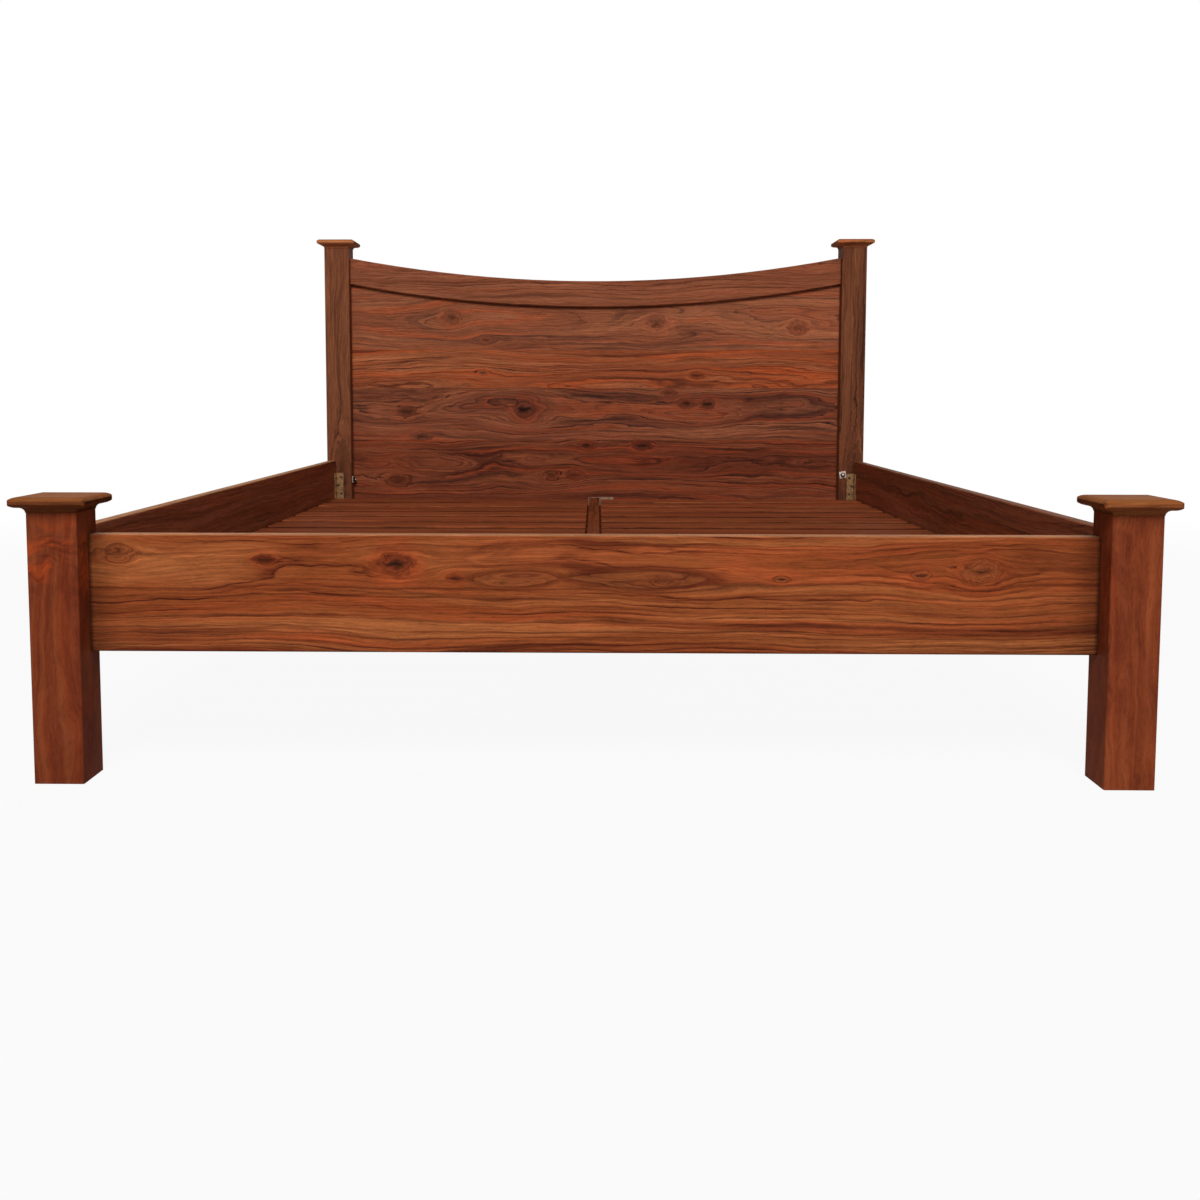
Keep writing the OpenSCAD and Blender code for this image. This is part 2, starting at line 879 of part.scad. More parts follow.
head_post(0);  // head_post_left
head_post(1);  // head_post_right
foot_post(0);  // foot_post_left
foot_post(1);  // foot_post_right
cap(0, 1, head_post_height);  // head_cap_left
cap(1, 1, head_post_height);  // head_cap_right
cap(0, 0, foot_post_height);  // foot_cap_left
cap(1, 0, foot_post_height);  // foot_cap_right
head_top_rail();
head_bottom_rail();
for (i = [0 : plank_count - 1])
    headboard_plank(i);
foot_rail();
side_rail(0);  // side_rail_left
side_rail(1);  // side_rail_right
side_ledger(0);  // side_ledger_left
side_ledger(1);  // side_ledger_right
centre_rail();
centre_ledgers();
centre_leg();
corner_angles();
centre_hangers();
post_bolts();
frame_screws();
for (side = [0, 1], place = [0, 1])
    batten(side, place);
slat_screws(0);  // slat_screws_left
slat_screws(1);  // slat_screws_right
for (side = [0, 1], i = [0 : slat_count - 1])
    slat(side, i);
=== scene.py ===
# %% [markdown]
# # A wooden bed in oiled rosewood
# The real object is a low double bed of solid Indian rosewood, oiled to a satin sheen: four square
# posts with moulded caps, a plank headboard with a dipped top rail, plain side and foot rails, and
# two panels of slats on either side of a centre rail. Every board comes from the CAD model in its
# true shape, so this lesson is about wood: how one procedural material can show growth rings that
# flow round knots, and how each board gets its own cut of it. Only the small fasteners are
# modelled anew, because their recesses and threads are too fine for the CAD model.

# %% Load the fixed frame
import math

import bpy
import numpy as np
from mathutils import Euler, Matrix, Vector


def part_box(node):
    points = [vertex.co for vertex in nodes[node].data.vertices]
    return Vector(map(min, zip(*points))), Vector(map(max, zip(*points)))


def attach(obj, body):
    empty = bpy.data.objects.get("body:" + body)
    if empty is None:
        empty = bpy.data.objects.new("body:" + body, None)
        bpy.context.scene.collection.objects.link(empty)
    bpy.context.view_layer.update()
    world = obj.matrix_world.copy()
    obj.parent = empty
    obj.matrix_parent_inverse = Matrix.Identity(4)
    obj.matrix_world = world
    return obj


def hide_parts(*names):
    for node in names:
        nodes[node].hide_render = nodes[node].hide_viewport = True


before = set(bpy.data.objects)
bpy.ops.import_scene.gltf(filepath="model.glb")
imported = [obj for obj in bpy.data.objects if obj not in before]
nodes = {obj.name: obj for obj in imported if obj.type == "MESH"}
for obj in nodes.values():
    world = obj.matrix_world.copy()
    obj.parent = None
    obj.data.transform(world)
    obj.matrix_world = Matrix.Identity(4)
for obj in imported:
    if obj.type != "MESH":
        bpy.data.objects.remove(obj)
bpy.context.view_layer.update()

# %% [markdown]
# ## The camera
# The photograph was taken from the foot of the bed, a little above the foot rail and tilted down
# by less than five degrees. Place, tilt, lens and shift come from fitting about seventy edges and
# corners of the bed, so the render can be laid over the photograph.

# %% Camera from the fitted view
IMAGE_SIDE = 1200
FOCAL_PIXELS = 1273.6
CENTRE_PIXEL = (576.23, 495.61)
CAMERA_PLACE = (0.00838, -2.9656, 0.5907)
CAMERA_YAW, CAMERA_PITCH, CAMERA_ROLL = 0.0163, -0.0813, 0.0010

camera = bpy.data.objects.new("camera", bpy.data.cameras.new("camera"))
bpy.context.scene.collection.objects.link(camera)
camera.location = CAMERA_PLACE
turn = Euler((math.pi / 2 + CAMERA_PITCH, 0, CAMERA_YAW), "XYZ").to_matrix()
roll = Euler((0, 0, CAMERA_ROLL), "XYZ").to_matrix()
camera.rotation_euler = (turn @ roll).to_euler()
camera.data.sensor_width = 36
camera.data.lens = FOCAL_PIXELS / IMAGE_SIDE * 36
camera.data.shift_x = (IMAGE_SIDE / 2 - CENTRE_PIXEL[0]) / IMAGE_SIDE
camera.data.shift_y = (CENTRE_PIXEL[1] - IMAGE_SIDE / 2) / IMAGE_SIDE
bpy.context.scene.camera = camera
print("lens mm:", round(camera.data.lens, 2))

# %% [markdown]
# ## Helpers
# Colours are written as the hex values that a picture shows, and Blender wants them linear. Node
# trees are built by one function that adds a node, sets it up and links it, and hands back the
# socket that the next node needs, so that a material reads from top to bottom like a recipe. The
# two nodes that come most often, arithmetic and a smooth step, have a short form each.


# %% Colour and node helpers
def linear(hex_colour):
    """sRGB hex to linear: divide by 12.92 in the toe, else ((c + 0.055) / 1.055) to the 2.4."""
    parts = [int(hex_colour[i : i + 2], 16) / 255 for i in (1, 3, 5)]
    return [c / 12.92 if c <= 0.04045 else ((c + 0.055) / 1.055) ** 2.4 for c in parts] + [1.0]


def add_node(tree, kind, inputs=None, output=0, **settings):
    """Adds a shader node, sets or links its inputs, and hands back one of its outputs."""
    node = tree.nodes.new("ShaderNode" + kind)
    for key, value in settings.items():
        setattr(node, key, value)
    for key, value in (inputs or {}).items():
        if isinstance(value, bpy.types.NodeSocket):
            tree.links.new(value, node.inputs[key])
        else:
            node.inputs[key].default_value = value
    return node.outputs[output] if node.outputs else node


def new_material(name):
    """An empty node material with its Principled shader already wired to the output."""
    material = bpy.data.materials.new(name)
    material.use_nodes = True
    tree = material.node_tree
    tree.nodes.clear()
    shader = add_node(tree, "BsdfPrincipled").node
    add_node(tree, "OutputMaterial", {"Surface": shader.outputs[0]})
    return material, tree, shader


print("mid grey, linear:", round(linear("#808080")[0], 3))


# %% Arithmetic and smooth steps
def calculate(tree, operation, *values):
    """A Math node's result for one, two or three numbers or sockets."""
    return add_node(tree, "Math", dict(enumerate(values)), operation=operation)


def smooth_step(tree, value, start, full, most=1.0):
    """Smooth rise from 0 where the value is at start to most where it is at full."""
    edges = {"Value": value, "From Min": start, "From Max": full, "To Max": most}
    return add_node(tree, "MapRange", edges, interpolation_type="SMOOTHSTEP")


# %% [markdown]
# ## Oiled rosewood, step 1: where a point lies in the tree
# A board is a slice of a trunk, so its pattern depends on where in the trunk it was. Every board
# reads its own Object coordinates, named along, across and through the grain, and a seed moves it
# to its own spot in an endless trunk. A row of slats shares one material: white noise would give
# each slat a colour, but the number of the slat also has to move the pattern, so it is counted
# first, from the slat's place in the row.


# %% Place in the trunk
def trunk_place(tree, along, across, seed, row):
    """Board place (along, across, through) in metres, the same moved into the trunk, and number.

    The move is 3.71, 1.37 and 2.93 m times the seed, and for a row also 1.7 m along and 0.37 m
    through times the piece's number, floor((across - start) / step) + 40.5 sign(along).
    """
    point = add_node(tree, "SeparateXYZ", {0: add_node(tree, "TexCoord", output="Object")}).node
    through = ({"X", "Y", "Z"} - {along, across}).pop()
    axes = [point.outputs[axis] for axis in (along, across, through)]
    board = add_node(tree, "CombineXYZ", dict(enumerate(axes)))
    move = (seed * 3.71, seed * 1.37, seed * 2.93)
    trunk = add_node(tree, "VectorMath", {0: board, 1: move}, operation="ADD")
    if row is None:
        return board, trunk, 0.0
    start, step = row
    count = calculate(tree, "MULTIPLY_ADD", axes[1], 1 / step, -start / step)
    count = calculate(tree, "FLOOR", count)
    side = calculate(tree, "SIGN", axes[0])
    number = calculate(tree, "MULTIPLY_ADD", side, 40.5, count)
    jump = {0: number, 1: (1.7, 0.0, 0.37), 2: trunk}
    trunk = add_node(tree, "VectorMath", jump, operation="MULTIPLY_ADD")
    return board, trunk, number


# %% [markdown]
# ## Step 2: streaks
# Wood changes slowly along the grain and fast across it. All its tones come from one recipe:
# noise on stretched coordinates, so many bumps per metre along, across and through the board, cut
# by a smooth step so that only the high spots show.


# %% Streaks
def streaks(tree, grain, per_metre, low=0.0, high=1.0, detail=2.0):
    """A share from 0 to 1: the smooth step from low to high of noise(grain * per_metre)."""
    stretched = add_node(tree, "VectorMath", {0: grain, 1: per_metre}, operation="MULTIPLY")
    noise = add_node(
        tree, "TexNoise", {"Vector": stretched, "Scale": 1.0, "Detail": detail, "Roughness": 0.55}
    )
    return smooth_step(tree, noise, low, high)


# %% [markdown]
# ## Step 3: grain that parts round knots
# Where a branch grew, the grain parts and closes round it, as water does round a stone. So each
# knot pushes the points of the board sideways by the flow round a cylinder, and a flat curve,
# p p + |q| = 1, gives it an outline with pointed ends, like an almond. Very long almonds are the
# pale lenses of a foot rail, where the saw only just touched the outside of a ring. Ragged noise
# keeps the outlines from being clean.


# %% Spots in the grain
def spots(tree, board, trunk, places, bumps):
    """Sum of R q / (p p + q q + 0.3), the least p p + |q|, and the strength near each spot.

    p and q are the distances from a spot over its radius R, p over its stretch too, plus noise.
    """
    stretched = add_node(tree, "VectorMath", {0: trunk, 1: bumps}, operation="MULTIPLY")
    rough = {"Vector": stretched, "Scale": 1.0, "Detail": 3.0}
    ragged = add_node(tree, "TexNoise", rough, output="Color")
    centred = {0: ragged, 1: (0.9, 0.9, 0.0), 2: (-0.45, -0.45, 0.0)}
    ragged = add_node(tree, "VectorMath", centred, operation="MULTIPLY_ADD")
    flow, nearest, force = 0.0, 9.0, 0.0
    for along, across, radius, stretch, strength in places:
        scale = (1 / (radius * stretch), 1 / radius, 0.0)
        spot = {0: board, 1: scale, 2: (-along * scale[0], -across * scale[1], 0.0)}
        local = add_node(tree, "VectorMath", spot, operation="MULTIPLY_ADD")
        local = add_node(tree, "VectorMath", {0: local, 1: ragged}, operation="ADD")
        square = {0: local, 1: local}
        square = add_node(tree, "VectorMath", square, output="Value", operation="DOT_PRODUCT")
        p, q = add_node(tree, "SeparateXYZ", {0: local}).node.outputs[:2]
        apart = calculate(tree, "ADD", square, 0.3)
        push = calculate(tree, "DIVIDE", q, apart)
        flow = calculate(tree, "MULTIPLY_ADD", push, radius, flow)
        level = calculate(tree, "ABSOLUTE", q)
        almond = calculate(tree, "MULTIPLY_ADD", p, p, level)
        nearest = calculate(tree, "MINIMUM", almond, nearest)
        close = smooth_step(tree, almond, 3.0, 1.2, strength)
        force = calculate(tree, "MAXIMUM", close, force)
    return flow, nearest, force


def inside_and_edge(tree, nearest, force):
    """The steps of nearest from 1.1 down to 0.85 and of |nearest - 1| from 0.15 to 0, by force."""
    off = calculate(tree, "SUBTRACT", nearest, 1.0)
    off = calculate(tree, "ABSOLUTE", off)
    shares = []
    for value, start, full in ((nearest, 1.1, 0.85), (off, 0.15, 0.0)):
        step = smooth_step(tree, value, start, full)
        shares.append(calculate(tree, "MULTIPLY", step, force))
    return shares


# %% Bent grain
def bent_grain(tree, board, trunk, wander, flow):
    """Board + wander * (5 slow + 1.4 quicker + 0.3 fine noise), less the flow across."""
    bent = board
    layers = [((1.6, 6.0, 4.0), 5.0), ((7.0, 24.0, 12.0), 1.4), ((28.0, 90.0, 60.0), 0.3)]
    for per_metre, reach in layers:
        stretched = add_node(tree, "VectorMath", {0: trunk, 1: per_metre}, operation="MULTIPLY")
        rough = {"Vector": stretched, "Scale": 1.0, "Detail": 1.0}
        noise = add_node(tree, "TexNoise", rough, output="Color")
        size = reach * wander
        shift = {0: noise, 1: (0.0, size, 1.5 * size), 2: (0.0, -size / 2, -0.75 * size)}
        shift = add_node(tree, "VectorMath", shift, operation="MULTIPLY_ADD")
        bent = add_node(tree, "VectorMath", {0: bent, 1: shift}, operation="ADD")
    push = add_node(tree, "CombineXYZ", {1: flow})
    return add_node(tree, "VectorMath", {0: bent, 1: push}, operation="SUBTRACT")


# %% [markdown]
# ## Step 4: growth rings
# Rings are circles round the pith, and a board is a flat cut through them. Far from the pith they
# cross the board as straight lines, near to it they open into arches and closed ovals, so each
# board says where its pith lay. A ring is pale where it grew in spring and darkens until growth
# stops, so each line has one soft and one sharp side: the fraction of a steadily rising field
# gives just that ramp. Slow noise in the field crowds some rings and spreads others, and white
# noise on the ring's number makes some strong and some faint. Sharp sides get a short second
# ramp, a tenth of a ring, and streaks along the fibres break the lines, so that they don't look
# cut out with scissors.


# %% Ring height
def ring_height(tree, bent, pith, knot_ring, knot_share):
    """Distance of (across, through) from the pith; inside knots 0.022 * (p p + |q|) instead."""
    off = {0: bent, 1: (0.0, 1.0, 1.0), 2: (0.0, -pith[0], -pith[1])}
    off = add_node(tree, "VectorMath", off, operation="MULTIPLY_ADD")
    height = add_node(tree, "VectorMath", {0: off}, output="Value", operation="LENGTH")
    inner = calculate(tree, "MULTIPLY", knot_ring, 0.022)
    return add_node(tree, "Mix", {0: knot_share, 2: height, 3: inner}, data_type="FLOAT")


# %% Ring lines
def ring_lines(tree, height, ringed, fibres, rings):
    """Darkness: 1.7 late(F) * strength(ring) * fade * fibres, with F = rings height + 3 noise.

    late is the fourth power of the fraction f of F, or 1 - 10 f where that is more.
    """
    uneven = streaks(tree, ringed, (0.8, 21.0, 8.0), detail=1.0)
    steady = calculate(tree, "MULTIPLY", height, rings)
    field = calculate(tree, "MULTIPLY_ADD", uneven, 3.0, steady)
    fraction = calculate(tree, "FRACT", field)
    late = calculate(tree, "POWER", fraction, 4.0)
    after = calculate(tree, "MULTIPLY_ADD", fraction, -10.0, 1.0)
    line = calculate(tree, "MAXIMUM", late, after)
    behind = calculate(tree, "SUBTRACT", field, 0.1)
    number = calculate(tree, "FLOOR", behind)
    strength = add_node(tree, "TexWhiteNoise", {"W": number}, noise_dimensions="1D")
    fade = streaks(tree, ringed, (3.0, 40.0, 20.0), 0.32, 0.60)
    for share in (strength, fade, fibres, 1.7):
        line = calculate(tree, "MULTIPLY", line, share)
    return line


# %% [markdown]
# ## Step 5: fibres, pores and end grain
# Close to, rosewood has streaks 2 to 4 mm wide, and open pores under 1 mm wide, which oil fills
# only in part, so that they stay as dark dashes a centimetre long. They change how bright the wood
# is, and the pores also dent it. End grain drinks more oil and is darker.


# %% Brightness of the fibres
def fibre_light(tree, grain, number, streak):
    """Product of 1 +- streaks of three sizes and the piece's own tone, less dashes and pores."""
    light = 1.0
    layers = [
        ((4.0, 250.0, 120.0), 0.38 * streak), ((22.0, 480.0, 250.0), 0.38 * streak),
        ((0.9, 9.0, 5.0), 0.16),
    ]
    for per_metre, span in layers:
        share = streaks(tree, grain, per_metre)
        factor = calculate(tree, "MULTIPLY_ADD", share, 2 * span, 1 - span)
        light = calculate(tree, "MULTIPLY", light, factor)
    own = add_node(tree, "TexWhiteNoise", {"W": number}, noise_dimensions="1D")
    own = calculate(tree, "MULTIPLY_ADD", own, 0.32, 0.84)
    dashes = streaks(tree, grain, (90.0, 620.0, 400.0), 0.54, 0.68, detail=1.0)
    pores = streaks(tree, grain, (75.0, 1500.0, 900.0), 0.62, 0.74, detail=1.0)
    for dents, depth in ((dashes, -0.16), (pores, -0.20)):
        light = calculate(tree, "MULTIPLY_ADD", dents, depth, light)
    return calculate(tree, "MULTIPLY", light, own), pores


def end_grain_and_edge_shade(tree, along):
    """End grain and painted edge shade: the sixth power of a face's normal part along an axis."""
    normal = add_node(tree, "TexCoord", output="Normal")
    part = add_node(tree, "SeparateXYZ", {0: normal}, output=along)
    size = calculate(tree, "ABSOLUTE", part)
    return calculate(tree, "POWER", size, 6.0)


# %% [markdown]
# ## Step 6: the colours in layers
# A layer is a share and a colour, and each one is laid over the last by its share. First come a
# pale ground, bands of a browner middle tone about 20 mm wide, glowing red streaks and smoky
# patches where the heartwood is nearly black. Lenses are paler than the wood round them and lie in
# a soft shade, and a knot gets darker towards its heart in two steps.


# %% Colour layers
def layered(tree, ground, layers):
    """Each (share, colour) in turn mixed over what lies below it."""
    colour = linear(ground)
    for share, paint in layers:
        below = {0: share, 6: colour, 7: linear(paint)}
        colour = add_node(tree, "Mix", below, output=2, data_type="RGBA", clamp_factor=True)
    return colour


def wood_shares(tree, ringed, weights):
    """Shares of bands, glow and smoke, each times its weight."""
    bands = streaks(tree, ringed, (1.0, 52.0, 12.0), 0.36, 0.62, detail=3.0)
    heat = streaks(tree, ringed, (1.6, 80.0, 20.0), 0.46, 0.66, detail=3.0)
    smoke = streaks(tree, ringed, (2.4, 90.0, 24.0), 0.50, 0.72, detail=4.0)
    return [
        calculate(tree, "MULTIPLY", share, weight)
        for share, weight in zip((bands, heat, smoke), weights)
    ]


# %% Lenses and hearts of knots
def lens_layers(tree, lens, lens_ring, lens_force, dark, pale):
    """Shade 0.6 * step(lens ring from 1.9 down to 1.05) * force, and inside 0.35 of pale."""
    shade = smooth_step(tree, lens_ring, 1.9, 1.05, 0.6)
    shade = calculate(tree, "MULTIPLY", shade, lens_force)
    faint = calculate(tree, "MULTIPLY", lens, 0.35)
    return [(shade, dark), (faint, pale)]


def heart_layers(tree, knot_ring, knot_force, dark):
    """Dark by 0.75 * step(knot ring from 1.4 down to 0.3), near black from 0.5 down to 0."""
    layers = []
    for start, full, most, paint in ((1.4, 0.3, 0.75, dark), (0.5, 0.0, 1.0, "#24140f")):
        core = smooth_step(tree, knot_ring, start, full, most)
        core = calculate(tree, "MULTIPLY", core, knot_force)
        layers.append((core, paint))
    return layers


# %% [markdown]
# Three more patterns are for single boards. A vein is a dark line at a given height that follows
# the bent grain. Mottle is what short, interlocked fibres give a post: soft dark patches 30 mm
# wide with pale flecks in them. Curl is a patch of waves in the fibres, which shine red across the
# grain.


# %% Veins
def vein_layers(tree, bent, veins, fibres, dark):
    """Dark lines along the grain: strength * (1 - step(|across - place| / half width)) * fibres."""
    across = add_node(tree, "SeparateXYZ", {0: bent}, output="Y")
    layers = []
    for place, half_width, strength in veins:
        off = calculate(tree, "SUBTRACT", across, place)
        off = calculate(tree, "ABSOLUTE", off)
        vein = smooth_step(tree, off, half_width, 0.0, strength)
        layers.append((calculate(tree, "MULTIPLY", vein, fibres), dark))
    return layers


# %% Mottle
def mottle_layers(tree, bent, mottle, dark, pale):
    """Patches 11 and flecks 60 to the metre along the grain, by mottle and by half of it."""
    patches = streaks(tree, bent, (11.0, 34.0, 34.0), 0.40, 0.66, detail=5.0)
    flecks = streaks(tree, bent, (60.0, 140.0, 140.0), 0.46, 0.70, detail=3.0)
    layers = []
    for share, weight, paint in ((patches, mottle, dark), (flecks, 0.5 * mottle, pale)):
        share = calculate(tree, "MULTIPLY", share, weight)
        layers.append((share, paint))
    return layers


# %% Curl
CURL_RED = "#a8451f"


def curl_layers(tree, trunk, board, curl, dark):
    """Red glow and dark waves across the grain, within a reach of a place along the board.

    The waves lie across because their noise is narrow along the grain, and a second noise shifts
    it along by some 20 mm, so that they rise and fall.
    """
    place, reach = curl
    slow = add_node(tree, "VectorMath", {0: trunk, 1: (14.0, 20.0, 20.0)}, operation="MULTIPLY")
    slow = add_node(tree, "TexNoise", {"Vector": slow, "Scale": 1.0, "Detail": 1.5}, output="Color")
    swell = {0: slow, 1: (0.080, 0.0, 0.0), 2: trunk}
    trunk = add_node(tree, "VectorMath", swell, operation="MULTIPLY_ADD")
    along = add_node(tree, "SeparateXYZ", {0: board}, output="X")
    off = calculate(tree, "SUBTRACT", along, place)
    off = calculate(tree, "ABSOLUTE", off)
    near = smooth_step(tree, off, reach, 0.2 * reach)
    layers = []
    for per_metre, low, high, paint in (
        ((45.0, 20.0, 20.0), 0.44, 0.62, CURL_RED), ((90.0, 26.0, 26.0), 0.50, 0.70, dark)
    ):
        wave = streaks(tree, trunk, per_metre, low, high, detail=3.0)
        wave = calculate(tree, "MULTIPLY", wave, near)
        layers.append((calculate(tree, "MULTIPLY", wave, 0.7), paint))
    return layers


# %% [markdown]
# ## Step 7: painted sheen and painted shade
# Faces that look up get a tan colour as painted sheen, which also lays a painted highlight on
# rounded top edges, and painted shade darkens the corner where a board meets its post.


# %% Painted sheen on tops and painted shade at joints
def painted_top_sheen_layer(tree, colour):
    """Painted sheen: the colour by 0.8 * step(upward part of the face's normal from 0.3 to 1)."""
    normal = add_node(tree, "TexCoord", output="Normal")
    up = add_node(tree, "SeparateXYZ", {0: normal}, output="Z")
    return smooth_step(tree, up, 0.3, 1.0, 0.8), colour


def painted_joint_shade_layers(tree, board, joint):
    """Painted shade: 0.5 in the last 60 mm before the joint at |x| = joint, 0.8 in the last 8."""
    from_middle = add_node(tree, "SeparateXYZ", {0: board}, output="X")
    from_middle = calculate(tree, "ABSOLUTE", from_middle)
    layers = []
    for width, most in ((0.060, 0.5), (0.008, 0.8)):
        joint_shade = smooth_step(tree, from_middle, joint - width, joint, most)
        layers.append((joint_shade, "#2a130b"))
    return layers


# %% [markdown]
# ## Step 8: the board's material
# The surface is sawn, planed, sanded and then oiled. Oil lies in the wood and not on it as lacquer
# would, so the specular level is low and the reflections are soft, duller where the wood drank
# more. Each board asks for its grain and rings, its patterns, and its painted sheen and shade.


# %% The rosewood material
def rosewood(
    name, along, across, colours, seed, knots=(), lenses=(), pith=(-2.0, -1.0), rings=120,
    wander=0.012, contrast=1.0, glow=0.6, streak=1.0, mottle=0.0, edges=0.0, polish=0.03,
    veins=(), top_sheen=None, joint=None, curl=None, row=None,
):
    """Sawn, planed and oiled rosewood with its grain along one axis and its rings round a pith.

    Wander is how far the grain bends, contrast how dark rings and smoke are, glow how red the
    streaks, streak how strong the fibres, and polish the specular level.
    """
    pale, middle, dark, red = colours
    material, tree, shader = new_material(name)
    board, trunk, number = trunk_place(tree, along, across, seed, row)
    knot_flow, knot_ring, knot_force = spots(tree, board, trunk, knots, (60.0, 90.0, 40.0))
    lens_flow, lens_ring, lens_force = spots(tree, board, trunk, lenses, (7.0, 40.0, 20.0))
    knot, knot_edge = inside_and_edge(tree, knot_ring, knot_force)
    lens, lens_edge = inside_and_edge(tree, lens_ring, lens_force)
    flow = calculate(tree, "ADD", knot_flow, lens_flow)
    bent = bent_grain(tree, board, trunk, wander, flow)
    height = ring_height(tree, bent, pith, knot_ring, knot)
    moved = add_node(tree, "SeparateXYZ", {0: trunk}).node
    side = add_node(tree, "SeparateXYZ", {0: bent}, output="Y")
    grain, ringed = [
        add_node(tree, "CombineXYZ", {0: moved.outputs[0], 1: middle_axis, 2: moved.outputs[2]})
        for middle_axis in (side, height)
    ]
    fibres = streaks(tree, grain, (9.0, 520.0, 300.0), 0.22, 0.56)
    lines = ring_lines(tree, height, ringed, fibres, rings)
    bands, heat, smoke = wood_shares(tree, ringed, (1.0, glow, 0.75 * contrast))
    inked = calculate(tree, "MULTIPLY", lines, 0.95 * contrast)
    torn = calculate(tree, "MULTIPLY", lens_edge, fibres)
    torn = calculate(tree, "MULTIPLY", torn, 0.7)
    inked = calculate(tree, "MAXIMUM", inked, torn)
    halo = calculate(tree, "MULTIPLY", knot_force, 0.5)
    edge = calculate(tree, "MULTIPLY", knot_edge, 0.4)
    layers = [
        (bands, middle), (heat, red), (halo, red), (smoke, dark),
        *lens_layers(tree, lens, lens_ring, lens_force, dark, pale), (inked, dark), (edge, dark),
        *vein_layers(tree, bent, veins, fibres, dark),
    ]
    if mottle:
        layers += mottle_layers(tree, bent, mottle, dark, pale)
    # Painted shade on the faces that look across the grain, such as the slats' narrow edges
    if edges:
        edge_shade = end_grain_and_edge_shade(tree, across)
        layers.append((calculate(tree, "MULTIPLY", edge_shade, edges), dark))
    if curl:
        layers += curl_layers(tree, trunk, board, curl, dark)
    # Painted sheen: a tan colour on faces that look up
    if top_sheen:
        layers.append(painted_top_sheen_layer(tree, top_sheen))
    # Painted shade where the board meets its posts
    if joint:
        layers += painted_joint_shade_layers(tree, board, joint)
    layers += heart_layers(tree, knot_ring, knot_force, dark)
    colour = layered(tree, pale, layers)
    light, pores = fibre_light(tree, grain, number, streak)
    end = end_grain_and_edge_shade(tree, along)
    drunk = calculate(tree, "MULTIPLY_ADD", end, -0.4, 1.0)
    light = calculate(tree, "MULTIPLY", light, drunk)
    base = add_node(tree, "VectorMath", {0: colour, "Scale": light}, operation="SCALE")
    wet = {"Value": streaks(tree, trunk, (4.0, 9.0, 9.0)), "To Min": 0.50, "To Max": 0.64}
    rough = calculate(tree, "MULTIPLY_ADD", end, 0.2, add_node(tree, "MapRange", wet))
    relief = calculate(tree, "MULTIPLY_ADD", pores, -1.0, light)
    dents = {"Height": relief, "Strength": 0.5, "Distance": 0.00025}
    tree.links.new(base, shader.inputs["Base Color"])
    tree.links.new(rough, shader.inputs["Roughness"])
    tree.links.new(add_node(tree, "Bump", dents), shader.inputs["Normal"])
    shader.inputs["IOR"].default_value = 1.47
    shader.inputs["Specular IOR Level"].default_value = polish
    return material


def dress(material, *names):
    """Puts a material in every slot of the named CAD nodes."""
    for name in names:
        slots = nodes[name].data.materials
        if len(slots) == 0:
            slots.append(material)
        for i in range(len(slots)):
            slots[i] = material
    print(material.name, "on", len(names), "pieces,", len(material.node_tree.nodes), "nodes")


# %% [markdown]
# ## The foot rail
# This is the board nearest to the eye and the lightest of the bed, a flat-sawn plank of warm
# orange brown with its pith 22 mm behind it. Knots sit in its upper half, and between them the
# rings close into long pale lenses. Each is given as its place along and across the board, its
# radius, how far it is drawn out along the grain, and how strongly it is coloured. A vein is given
# as its height, half of its width and its strength, and the strip of heartwood at the lower edge
# is the widest of them.

# %% Foot rail
# The four colours of a board are always pale, middle, dark and red
FOOT_RAIL_COLOURS = ("#a65f35", "#8a4523", "#4d1d12", "#a14725")
FOOT_RAIL_KNOTS = [
    (-0.719, 0.346, 0.017, 1.7, 0.25),
    (-0.495, 0.337, 0.009, 2.2, 0.8),
    (-0.295, 0.331, 0.018, 1.9, 1.0),
    (-0.206, 0.309, 0.007, 2.0, 0.8),
    (0.112, 0.305, 0.010, 3.2, 0.35),
    (0.287, 0.309, 0.006, 2.6, 0.7),
    (0.498, 0.316, 0.009, 1.7, 0.7),
    (0.586, 0.322, 0.019, 1.8, 0.6),
]
FOOT_RAIL_VEINS = [
    (0.300, 0.0035, 0.6), (0.286, 0.0025, 0.5), (0.252, 0.0025, 0.4), (0.237, 0.0030, 0.6),
    (0.229, 0.0020, 0.6), (0.218, 0.0030, 0.7), (0.178, 0.0450, 1.6), (0.352, 0.0030, 0.4),
]
FOOT_RAIL_LENSES = [
    (-0.113, 0.309, 0.012, 6.2, 0.8),
    (0.073, 0.309, 0.015, 6.8, 0.9),
]
# Painted sheen on the rail's top and painted shade at its ends, where it meets the posts
dress(
    rosewood(
        "rosewood_foot_rail", "X", "Z", FOOT_RAIL_COLOURS, 3, FOOT_RAIL_KNOTS, FOOT_RAIL_LENSES,
        pith=(0.330, -1.010), rings=190, wander=0.008, glow=0.55, veins=FOOT_RAIL_VEINS,
        top_sheen="#ac7855", joint=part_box("foot_post_right")[0][0],
    ),
    "foot_rail",
)

# %% [markdown]
# ## Posts and caps
# The posts are sawn from 3 inch stock with the grain upright and are a shade redder than the
# foot rail. The foot posts are mottled, and the left one has curl near its top. The head posts
# get painted shade at the height of the rails. The caps were cut from mixed pieces; the head caps
# get paler colours as painted light to lift the shade they sit in, and their tops show more
# painted sheen than any other faces.

# %% Posts
FOOT_POST_COLOURS = [
    ("#884427", "#75351e", "#542014", "#8d3a1d"), ("#944c2c", "#7f3b21", "#5b2317", "#984120"),
]
HEAD_POST_COLOURS = ("#7e4b31", "#6e3f2a", "#3b221a", "#80472d")
for number, name in enumerate(["foot_post_left", "foot_post_right"]):
    dress(
        rosewood(
            "rosewood_" + name, "Z", "X", FOOT_POST_COLOURS[number], 11 + 3 * number, rings=70,
            wander=0.022, contrast=0.3, glow=0.5, streak=0.3, mottle=0.5,
            curl=(0.340, 0.075) if number == 0 else None,
        ),
        name,
    )
